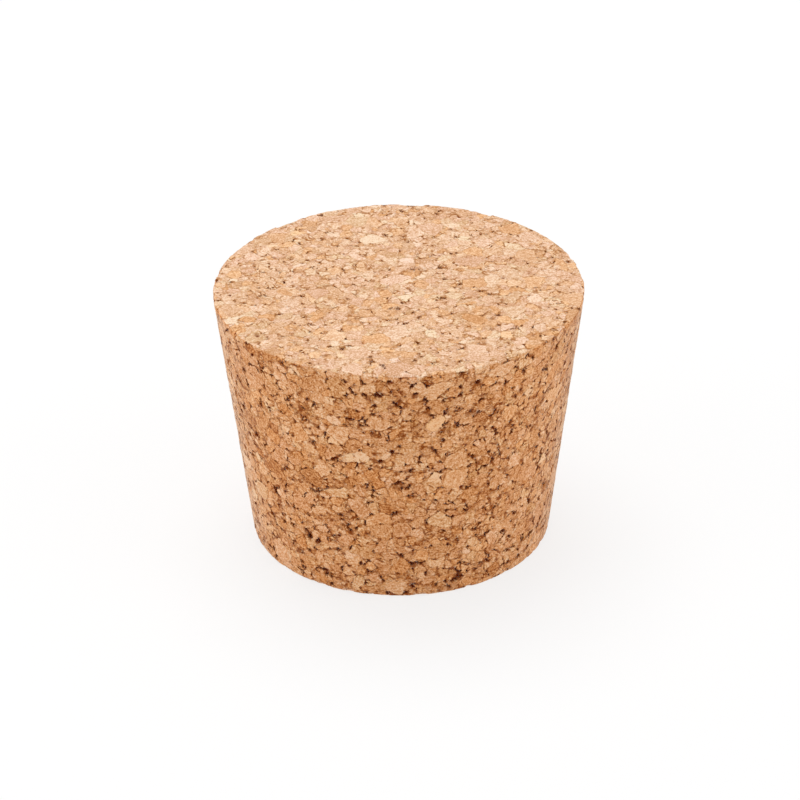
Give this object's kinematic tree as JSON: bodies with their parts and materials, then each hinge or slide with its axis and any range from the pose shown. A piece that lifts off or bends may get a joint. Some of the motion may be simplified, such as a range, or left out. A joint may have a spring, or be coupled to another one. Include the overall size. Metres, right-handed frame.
{
  "type": "cork stopper",
  "caption": "Tapered round stopper of agglomerated cork, with flat ends, open pores and slightly chipped rims, that is pushed small end first into a wide neck.",
  "frame": {"origin": "centre of the small end face, on the axis of the taper", "axes": "+Z along the axis, from the small end to the large end; the stopper is round, so X and Y are equal"},
  "size_m": [0.055, 0.055, 0.04],
  "materials": {
    "cork": "ground agglomerated cork, matt"
  },
  "bodies": {
    "root": {"cork_stopper": "cork"}
  },
  "joints": []
}
